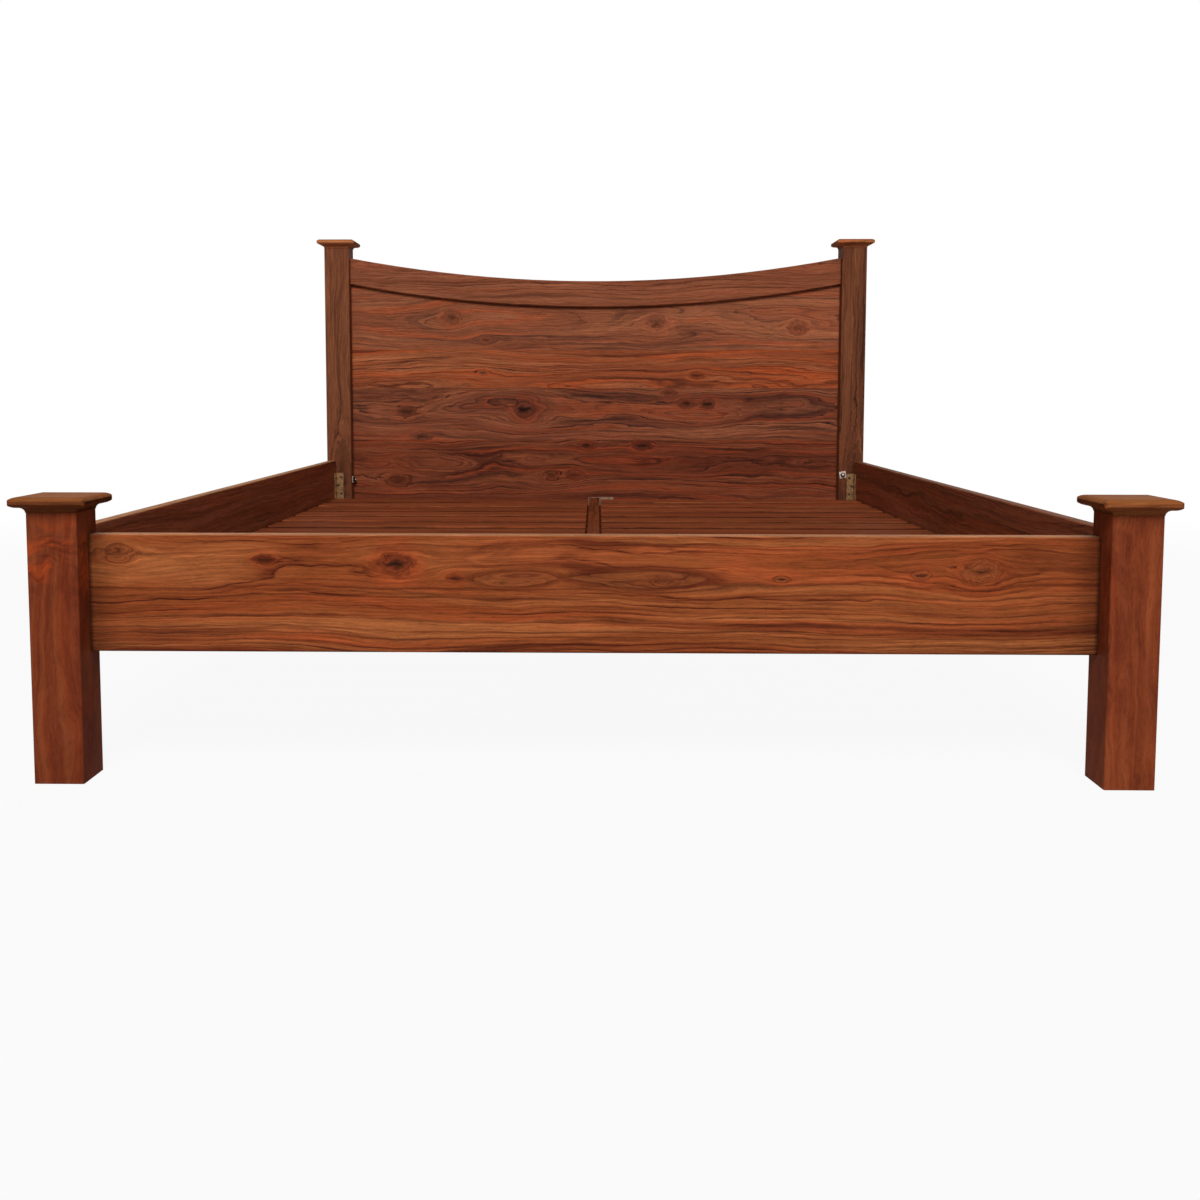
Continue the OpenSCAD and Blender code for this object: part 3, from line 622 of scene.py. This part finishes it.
# Painted shade at the height of the rails is given as a knot is, drawn far out along the post
POST_CORNER_SHADE = {
    "head_post_left": (0.30, -0.792, 0.030, 5.0, 0.5),
    "head_post_right": (0.30, 0.812, 0.030, 5.0, 0.7),
}
for number, (name, corner_shade) in enumerate(POST_CORNER_SHADE.items()):
    dress(
        rosewood(
            "rosewood_" + name, "Z", "X", HEAD_POST_COLOURS, 21 + 3 * number, [corner_shade], rings=140,
            contrast=0.6 + 0.4 * number, glow=0.4,
        ),
        name,
    )

# %% Caps
# For each cap its colours and its seed
CAPS = {
    "foot_cap_left": (("#704024", "#61341c", "#3b1e0f", "#6c361e"), 35),
    "foot_cap_right": (("#8c502d", "#794123", "#4a2613", "#874426"), 36),
    # The head caps' paler colours are painted light that lifts the shade they sit in
    "head_cap_left": (("#cb8153", "#b36940", "#774226", "#c16d42"), 40),
    "head_cap_right": (("#cf8455", "#b76b41", "#794327", "#c56f43"), 41),
}
for name, (colours, seed) in CAPS.items():
    # Painted sheen on the caps' tops
    material = rosewood(
        "rosewood_" + name, "X", "Y", colours, seed, contrast=0.5, streak=0.6, polish=0.015,
        top_sheen="#8d542c",
    )
    dress(material, name)

# %% [markdown]
# ## Headboard
# The panel is four planks, darker towards the bottom: an orange one with large figure on top, a
# straight red one, and two dark ones with knots below. Each has its pith some 30 mm behind it, so
# the rings open into arches at the pith's height and run straight along the edges.

# %% Headboard planks
# For each plank its colours, its seed, the place of its pith and its contrast
PLANKS = {
    "headboard_plank_4": (("#ae6b49", "#925338", "#513027", "#ad5635"), 41, (0.815, 1.100), 0.9),
    "headboard_plank_3": (("#ac6541", "#954e30", "#55291c", "#b7542b"), 47, (0.610, 1.100), 1.1),
    "headboard_plank_2": (("#97573b", "#7a422e", "#37221e", "#9c4a2d"), 52, (0.540, 1.110), 1.0),
    "headboard_plank_1": (("#8a4a30", "#703724", "#361b16", "#914025"), 58, (0.360, 1.100), 1.1),
}
PLANK_KNOTS = {
    "headboard_plank_4": [
        (-0.449, 0.823, 0.022, 1.5, 0.5),
        (-0.341, 0.753, 0.012, 2.0, 0.5),
        (0.196, 0.807, 0.024, 1.6, 0.35),
        (0.637, 0.791, 0.024, 1.6, 0.35),
    ],
    "headboard_plank_3": [(0.320, 0.6425, 0.012, 2.0, 0.7), (-0.352, 0.651, 0.011, 1.8, 0.6)],
    "headboard_plank_2": [
        (-0.221, 0.535, 0.026, 1.4, 1.0),
        (0.290, 0.554, 0.016, 1.9, 0.8),
        (0.3565, 0.5535, 0.018, 1.6, 0.9),
        (-0.594, 0.528, 0.018, 1.8, 0.5),
        (-0.546, 0.449, 0.016, 2.6, 0.6),
        (0.234, 0.587, 0.013, 2.2, 0.5),
    ],
    "headboard_plank_1": [
        (0.151, 0.422, 0.018, 2.0, 0.8),
        (-0.026, 0.422, 0.015, 2.0, 0.6),
        (-0.626, 0.307, 0.020, 2.0, 0.5),
        (-0.062, 0.329, 0.018, 1.8, 0.5),
        (-0.137, 0.329, 0.014, 2.0, 0.4),
    ],
}
for name, (colours, seed, pith, contrast) in PLANKS.items():
    dress(
        rosewood(
            "rosewood_" + name, "X", "Z", colours, seed, PLANK_KNOTS[name], pith=pith,
            rings=200, wander=0.011, contrast=contrast, glow=0.8,
        ),
        name,
    )

# %% Head rails
HEAD_RAIL_COLOURS = ("#9a5c40", "#8a4e34", "#5b3022", "#9a5034")
dress(
    rosewood("rosewood_head_rails", "X", "Z", HEAD_RAIL_COLOURS, 69, pith=(1.0, 1.10), rings=170),
    "head_top_rail", "head_bottom_rail",
)

# %% [markdown]
# ## Side rails, slats and what carries them
# The left side rail gets a tan painted sheen on top and the right one a brown one, so each has its
# own colour there. The slats are sawn from many boards, so each one gets its own shift of the
# pattern and its own depth of colour, from white noise on the slat's number. Their narrow edges
# get painted shade, so they are darker.

# %% Side rails
SIDE_RAIL_COLOURS = ("#9a583c", "#85482e", "#4f2b1e", "#9a4d2e")
# The last value is the colour of the painted sheen on each rail's top
for name, seed, top_sheen_colour in (("left", 71, "#a87850"), ("right", 75, "#6b422a")):
    dress(
        rosewood(
            "rosewood_side_rail_" + name, "Y", "Z", SIDE_RAIL_COLOURS, seed, contrast=0.7,
            top_sheen=top_sheen_colour,
        ),
        "side_rail_" + name,
    )

# %% Slats
SLAT_COLOURS = ("#914f2f", "#743b23", "#431f14", "#984525")
SLAT_COUNT = 14
PANELS = ("left", "right")
slat_names = [f"slat_{panel}_{i + 1:02d}" for panel in PANELS for i in range(SLAT_COUNT)]
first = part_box(slat_names[0])[0][1]
step = (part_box(slat_names[SLAT_COUNT - 1])[0][1] - first) / (SLAT_COUNT - 1)
half_gap = 0.02
# Painted shade darkens the slats' narrow edges, by the share edges=0.75
dress(
    rosewood(
        "rosewood_slats", "X", "Y", SLAT_COLOURS, 81, rings=130, contrast=0.9, glow=0.7,
        edges=0.75, polish=0.01, row=(first - half_gap, step),
    ),
    *slat_names,
)

# %% Centre rail, ledgers, battens and leg
PLAIN_COLOURS = ("#6e371d", "#602c17", "#3c1a0e", "#6e321a")
dress(
    rosewood("rosewood_plain_strips", "Y", "X", PLAIN_COLOURS, 91, contrast=0.6),
    "centre_rail", "centre_ledgers", "side_ledger_left", "side_ledger_right",
    "batten_left_inner", "batten_left_outer", "batten_right_inner", "batten_right_outer",
)
dress(rosewood("rosewood_centre_leg", "Z", "X", PLAIN_COLOURS, 95, contrast=0.6), "centre_leg")

# %% [markdown]
# ## Steel fittings
# All of the steel was rolled or turned and then plated. The corner angles are folded strip with a
# yellow zinc coat, dulled by handling, the hangers are a duller grey zinc, the washers bright, the
# screws in the angles have browned, and the nuts are near black. Metal keeps its default
# IOR, and the look comes from the colour of the coat, mottled roughness and a trace of rolling
# lines.


# %% Zinc materials
def zinc(name, colour, stain, smooth, rough):
    """Plated steel: two coat colours mixed by blotches about 8 mm wide, roughness with them."""
    material, tree, shader = new_material(name)
    place = add_node(tree, "TexCoord", output="Object")
    blotches = streaks(tree, place, (120.0, 120.0, 90.0), 0.38, 0.66, detail=4.0)
    rolled = streaks(tree, place, (900.0, 900.0, 90.0))
    coat = layered(tree, colour, [(blotches, stain)])
    matt = {"Value": blotches, "To Min": smooth, "To Max": rough}
    lines = {"Height": rolled, "Strength": 0.3, "Distance": 0.00008}
    tree.links.new(coat, shader.inputs["Base Color"])
    tree.links.new(add_node(tree, "MapRange", matt), shader.inputs["Roughness"])
    tree.links.new(add_node(tree, "Bump", lines), shader.inputs["Normal"])
    shader.inputs["Metallic"].default_value = 1.0
    return material


dress(zinc("yellow_zinc_steel", "#ae885e", "#7a5b40", 0.45, 0.65), "corner_angles")
dress(zinc("dull_zinc_steel", "#8f7364", "#6b5649", 0.50, 0.65), "centre_hangers")
bright_zinc = zinc("bright_zinc_steel", "#f0dfd3", "#d6c3b5", 0.42, 0.55)
plain_zinc = zinc("plain_zinc_steel", "#cfc5bb", "#a69c92", 0.38, 0.52)
brown_zinc = zinc("browned_zinc_steel", "#6b553c", "#4a3927", 0.40, 0.60)
black_steel = zinc("near_black_steel", "#3a322c", "#241e1a", 0.40, 0.60)

# %% [markdown]
# ## Fasteners
# Screws, washers, nuts and bolts are all turned or stamped about one axis, so one function can
# draw them: rows of points round the axis, each row with its own radii and heights. A cross
# recess is a dent in the heights, a thread a ripple in the radii that climbs as it goes round,
# and a hexagon or square is a radius that changes with the angle.


# %% A skin round an axis
def turned(radius, height, hollow=False):
    """Point (i, j) at radius[i, j], height[i, j] and angle 2 pi j / columns round the Z axis.

    Rows run from the lower middle outwards, up and back in. A hollow skin joins its last row to
    its first, any other closes with a pole at each end.
    """
    rows, columns = radius.shape
    angle = 2 * np.pi * np.arange(columns) / columns
    points = np.stack([radius * np.cos(angle), radius * np.sin(angle), height], axis=-1)
    points = points.reshape(-1, 3)
    index = np.arange(rows * columns).reshape(rows, columns)
    if hollow:
        index = np.vstack([index, index[:1]])
    low, high = index[:-1], index[1:]
    quads = np.stack([low, np.roll(low, -1, 1), np.roll(high, -1, 1), high], axis=-1)
    faces = quads.reshape(-1, 4).tolist()
    if not hollow:
        first, last, poles = index[0], index[-1], rows * columns
        points = np.vstack([points, [[0, 0, height[0, 0]], [0, 0, height[-1, 0]]]])
        ends = [
            np.stack([np.full(columns, poles), np.roll(first, -1), first], axis=-1),
            np.stack([np.full(columns, poles + 1), last, np.roll(last, -1)], axis=-1),
        ]
        faces += np.vstack(ends).tolist()
    return points, faces


# %% Placing and joining
def placed(points, faces, places):
    """Copies a shape to each place: point = place + x u + y v + z w, with w where its head looks.

    Copy number n is spun by 0.05 + 1.7 n radians about w, so that no two recesses line up.
    """
    w = np.array([look for _, look in places], dtype=float)
    spin = 0.05 + 1.7 * np.arange(len(places))[:, None]
    side = np.roll(w, 1, axis=1)
    other = np.cross(w, side)
    u = np.cos(spin) * side + np.sin(spin) * other
    v = np.cross(w, u)
    basis = np.stack([u, v, w], axis=1)
    centres = np.array([place for place, _ in places], dtype=float)
    all_points = np.einsum("pk,nkc->npc", points, basis) + centres[:, None, :]
    all_faces = [
        [corner + n * len(points) for corner in face]
        for n in range(len(places))
        for face in faces
    ]
    return all_points.reshape(-1, 3), all_faces


def add_fastener(name, shapes, material, body, replaced):
    """Joins shapes (points and faces) into one steel piece that rides on a body."""
    points, faces, start = [], [], 0
    for some_points, some_faces in shapes:
        points.append(some_points)
        faces += [[corner + start for corner in face] for face in some_faces]
        start += len(some_points)
    mesh = bpy.data.meshes.new(name)
    mesh.from_pydata(np.vstack(points).tolist(), [], faces)
    mesh.polygons.foreach_set("use_smooth", np.ones(len(faces), dtype=bool))
    mesh.set_sharp_from_angle(angle=math.radians(35))
    mesh.materials.append(material)
    piece = bpy.data.objects.new(name, mesh)
    bpy.context.scene.collection.objects.link(piece)
    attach(piece, body)
    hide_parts(replaced)
    print(name, "faces:", len(faces))


# %% [markdown]
# ### Wood screws
# Round-head screws with a cross recess, 4 mm thick with an 8 mm head, each pointed at its end. The
# recess is 1.5 mm deep, with arms about 1.2 mm wide that end 1.9 mm from the middle.


# %% One screw
def screw(length):
    """Shank and dome; the recess takes 1.5 mm * arm * reach from the dome's height.

    With a and b the smaller and the larger of |x| and |y|, arm falls from 1 to 0 where a goes from
    0.4 to 0.8 mm, and reach where b goes from 1.7 to 2.1 mm.
    """
    columns = 24
    angle = 2 * np.pi * np.arange(columns) / columns
    rim = np.linspace(1.0, 0.0, 9)[:-1, None]
    dome_radius = 0.004 * np.sin(rim * np.pi / 2) * np.ones(columns)
    x, y = np.abs(dome_radius * np.cos(angle)), np.abs(dome_radius * np.sin(angle))
    arm = np.clip((0.0008 - np.minimum(x, y)) / 0.0004, 0, 1)
    reach = np.clip((0.0021 - np.maximum(x, y)) / 0.0004, 0, 1)
    dome_height = 0.0026 * np.cos(rim * np.pi / 2) - 0.0015 * arm * reach
    shank_radius = np.array([0.0004, 0.0020, 0.0020, 0.0038])[:, None] * np.ones(columns)
    shank_height = np.array([-length, 0.004 - length, 0.0, 0.0])[:, None] * np.ones(columns)
    return turned(
        np.vstack([shank_radius, dome_radius]), np.vstack([shank_height, dome_height])
    )


# %% [markdown]
# The screws' places follow from the pieces that they hold. Each leg of a corner angle has four,
# 4 mm off its middle line by turns, each ledger seven, with those of the two centre ledgers half a
# step apart, and the wing of a hanger three.

# %% Screws of the corner angles
SIDES = (-1, 1)
STEEL = 0.003
ANGLE_LEG = 0.024
ANGLE_SCREWS = 4
STAGGER = 0.004
side_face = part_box("side_rail_right")[0][0]
post_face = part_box("head_post_right")[0][1]
angle_foot, angle_top = [corner[2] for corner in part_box("corner_angles")]
angle_places = []
for side in SIDES:
    for end in SIDES:
        for i in range(ANGLE_SCREWS):
            z = angle_foot + (i + 0.5) * (angle_top - angle_foot) / ANGLE_SCREWS
            off = (ANGLE_LEG + STEEL) / 2 - STAGGER * (-1) ** i
            on_post = (side * (side_face - off), end * (post_face - STEEL), z)
            on_rail = (side * (side_face - STEEL), end * (post_face - off), z)
            angle_places += [(on_post, (0, -end, 0)), (on_rail, (-side, 0, 0))]

# %% Screws of the ledgers
LEDGER_SCREWS = 7
ledger_low, ledger_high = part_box("side_ledger_right")
ledger_step = (ledger_high[1] - ledger_low[1]) / LEDGER_SCREWS
centre_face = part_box("centre_ledgers")[1][0]
ledger_places = []
for side in SIDES:
    for i in range(LEDGER_SCREWS):
        y = ledger_low[1] + (i + 0.5) * ledger_step
        z = (ledger_low[2] + ledger_high[2]) / 2
        on_side_rail = (side * ledger_low[0], y, z)
        on_centre_rail = (side * centre_face, y + side * ledger_step / 4, z)
        ledger_places += [(on_side_rail, (-side, 0, 0)), (on_centre_rail, (side, 0, 0))]

# %% Screws of the hangers, and all of the frame's
HANGER_WING = 0.042
HANGER_SCREW_ROWS = (0.2, 0.5, 0.8)
hanger_low, hanger_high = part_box("centre_hangers")
wing_middle = hanger_high[0] - HANGER_WING / 2
foot_rail_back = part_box("foot_rail")[1][1]
bottom_rail_low, bottom_rail_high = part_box("head_bottom_rail")
hanger_places = []
for row in HANGER_SCREW_ROWS:
    z = hanger_low[2] + row * (bottom_rail_high[2] - hanger_low[2])
    hanger_places.append(((wing_middle, foot_rail_back + STEEL, z), (0, 1, 0)))
    hanger_places.append(((wing_middle, bottom_rail_low[1] - STEEL, z), (0, -1, 0)))
short = placed(*screw(0.018), angle_places + hanger_places)
long = placed(*screw(0.040), ledger_places)
add_fastener("frame_wood_screws", [short, long], brown_zinc, "frame", "frame_screws")

# %% Slat screws, let into the battens from below
SCREW_RECESS = 0.004
for panel in PANELS:
    battens = [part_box(f"batten_{panel}_{row}") for row in ("inner", "outer")]
    places = []
    for i in range(SLAT_COUNT):
        slat_low, slat_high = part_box(f"slat_{panel}_{i + 1:02d}")
        y = (slat_low[1] + slat_high[1]) / 2
        for low, high in battens:
            places.append((((low[0] + high[0]) / 2, y, low[2] + SCREW_RECESS), (0, 0, -1)))
    add_fastener(
        f"slat_wood_screws_{panel}", [placed(*screw(0.030), places)], plain_zinc,
        f"{panel}_slat_panel", f"slat_screws_{panel}",
    )

# %% [markdown]
# ### Post bolts
# An 8 mm bolt with a domed head runs through each head post, and on the inner side it has a
# square washer with rounded corners, a chamfered hexagon nut, and three millimetres of thread
# standing out of it. A nut's corners are cut by a cone, so each radius is the smaller of the
# hexagon's and the cone's.


# %% Washer and nut
def square_washer():
    """Radius 10.5 / (|cos|^20 + |sin|^20)^(1/20) mm, its stamped edge broken by 0.2 mm."""
    turn = 2 * np.pi * np.arange(64) / 64
    edge = 0.0105 / (np.abs(np.cos(turn)) ** 20 + np.abs(np.sin(turn)) ** 20) ** (1 / 20)
    hole = np.full(64, 0.0042)
    radius = np.stack([hole, edge - 0.0002, edge, edge, edge - 0.0002, hole])
    height = np.array([0, 0, 0.2, 1.8, 2.0, 2.0])[:, None] / 1000 * np.ones(64)
    return turned(radius, height, hollow=True)


def hexagon_nut():
    """Radius min(6.4 / cos(angle to the nearest flat), cone) mm, the cone 30 degrees steep."""
    turn = 2 * np.pi * np.arange(96) / 96
    flat = (turn + np.pi / 6) % (np.pi / 3) - np.pi / 6
    edge = 0.0064 / np.cos(flat)
    rise = np.array([0.0, 0.25, 0.5, 0.75])[:, None] / 1000
    lower = np.minimum(edge, 0.0062 + 1.73 * rise)
    radius = np.vstack([np.full((1, 96), 0.0041), lower, lower[::-1], np.full((1, 96), 0.0041)])
    levels = np.concatenate([[0.0], rise[:, 0], 0.0064 - rise[::-1, 0], [0.0064]])
    return turned(radius, (0.0022 + levels)[:, None] * np.ones(96), hollow=True)


# %% Bolt
def coach_bolt():
    """Dome, shank, and a thread of radius 4 - 0.7 |saw(height / 1.25 - angle / 2 pi)| mm."""
    columns = 40
    ones = np.ones(columns)
    arch = np.linspace(0.1, 1.0, 8)[:, None]
    dome_radius = 0.0096 * np.sin(arch * np.pi / 2) * ones
    dome_height = -0.076 - 0.004 * np.cos(arch * np.pi / 2) * ones
    levels = np.linspace(-0.002, 0.0112, 54)[:, None] * ones
    saw = (levels / 0.00125 - np.arange(columns) / columns) % 1.0
    thread = 0.004 - 0.0007 * np.abs(2 * saw - 1)
    shank_radius = np.array([0.0039, 0.0039])[:, None] * ones
    shank_height = np.array([-0.076, -0.003])[:, None] * ones
    end_radius, end_height = 0.0030 * ones[None], 0.0116 * ones[None]
    radius = np.vstack([dome_radius, shank_radius, thread, end_radius])
    return turned(radius, np.vstack([dome_height, shank_height, levels, end_height]))


# %% Both bolts with their washers and nuts
LEFT_BOLT_DROP, RIGHT_BOLT_DROP = 0.061, 0.042
LEFT_BOLT_INSET = 0.021
rail_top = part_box("side_rail_right")[1][2]
left_post_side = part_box("head_post_left")[1][0]
right_bolt_x = (side_face - ANGLE_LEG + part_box("head_post_right")[0][0]) / 2
left_bolt = (left_post_side, post_face + LEFT_BOLT_INSET, rail_top - LEFT_BOLT_DROP)
right_bolt = (right_bolt_x, post_face, rail_top - RIGHT_BOLT_DROP)
bolts = [(left_bolt, (1, 0, 0)), (right_bolt, (0, -1, 0))]
for name, shape, material in (
    ("post_washers", square_washer(), bright_zinc),
    ("post_nuts", hexagon_nut(), black_steel),
    ("post_coach_bolts", coach_bolt(), plain_zinc),
):
    add_fastener(name, [placed(*shape, bolts)], material, "frame", "post_bolts")

# %% [markdown]
# ## Floor and light
# The photograph is cut out on white. A pale floor keeps a soft shadow under the bed, and a few
# metres away it fades to plain paper, so that no horizon shows. The light is one large soft lamp
# high behind the camera and a dim even sky, which leaves the sides of the posts and the inner
# faces of the side rails dark as in the photograph. The eye, and any reflection in oil or metal,
# sees white paper in place of both.

# %% What the eye sees directly
def seen_rays(tree):
    """1 for rays from the camera, by reflection in a gloss or through glass, 0 for the rest."""
    rays = add_node(tree, "LightPath").node
    seen = rays.outputs["Is Camera Ray"]
    for kind in ("Is Glossy Ray", "Is Transmission Ray"):
        seen = calculate(tree, "MAXIMUM", seen, rays.outputs[kind])
    return seen


# %% Floor
reach = 30.0
corners = [(-reach, -reach, 0), (reach, -reach, 0), (reach, reach, 0), (-reach, reach, 0)]
floor_mesh = bpy.data.meshes.new("floor")
floor_mesh.from_pydata(corners, [], [(0, 1, 2, 3)])
floor = bpy.data.objects.new("floor", floor_mesh)
floor.location.z = -0.0005
bpy.context.scene.collection.objects.link(floor)
floor_material, tree, shader = new_material("white_studio_floor")
shader.inputs["Base Color"].default_value = linear("#a6a6a5")
shader.inputs["Roughness"].default_value = 0.9
away = add_node(
    tree, "VectorMath", {0: add_node(tree, "TexCoord", output="Object")}, output="Value",
    operation="LENGTH",
)
FADE_START, FADE_END = 1.8, 4.5
PAPER_UNDER_BED = 0.93
fade = {"Value": away, "From Min": FADE_START, "From Max": FADE_END, "To Min": PAPER_UNDER_BED}
paper_share = add_node(tree, "MapRange", fade, interpolation_type="SMOOTHSTEP")
white_share = calculate(tree, "MULTIPLY", paper_share, seen_rays(tree))
white = add_node(tree, "Emission", {"Color": (1, 1, 1, 1), "Strength": 1.0})
surface = add_node(tree, "MixShader", {0: white_share, 1: shader.outputs[0], 2: white})
output = next(n for n in tree.nodes if n.bl_idname == "ShaderNodeOutputMaterial")
tree.links.new(surface, output.inputs["Surface"])
floor_mesh.materials.append(floor_material)


# %% Lamp
def soft_lamp(name, place, aim, size, watts):
    """A square area lamp at place, turned to face aim."""
    data = bpy.data.lights.new(name, "AREA")
    data.shape = "SQUARE"
    data.size = size
    data.energy = watts
    lamp = bpy.data.objects.new(name, data)
    bpy.context.scene.collection.objects.link(lamp)
    lamp.location = place
    toward = np.array(aim) - np.array(place)
    flat = math.hypot(toward[0], toward[1])
    tilt = math.atan2(flat, -toward[2])
    lamp.rotation_euler = (tilt, 0, math.atan2(toward[1], toward[0]) - math.pi / 2)


soft_lamp("key_lamp", (-0.05, -7.6, 6.8), (0, 0, 0.4), 4.0, 850)

# %% Sky
SKY_STRENGTH = 0.14
world = bpy.data.worlds.new("sky")
bpy.context.scene.world = world
world.use_nodes = True
tree = world.node_tree
tree.nodes.clear()
plain = add_node(tree, "Background", {"Color": (1, 1, 1, 1), "Strength": SKY_STRENGTH})
paper = add_node(tree, "Background", {"Color": (1, 1, 1, 1), "Strength": 1.0})
sky = add_node(tree, "MixShader", {0: seen_rays(tree), 1: plain, 2: paper})
add_node(tree, "OutputWorld", {"Surface": sky})
bpy.context.scene.view_settings.view_transform = "Standard"
print("sky strength:", SKY_STRENGTH)
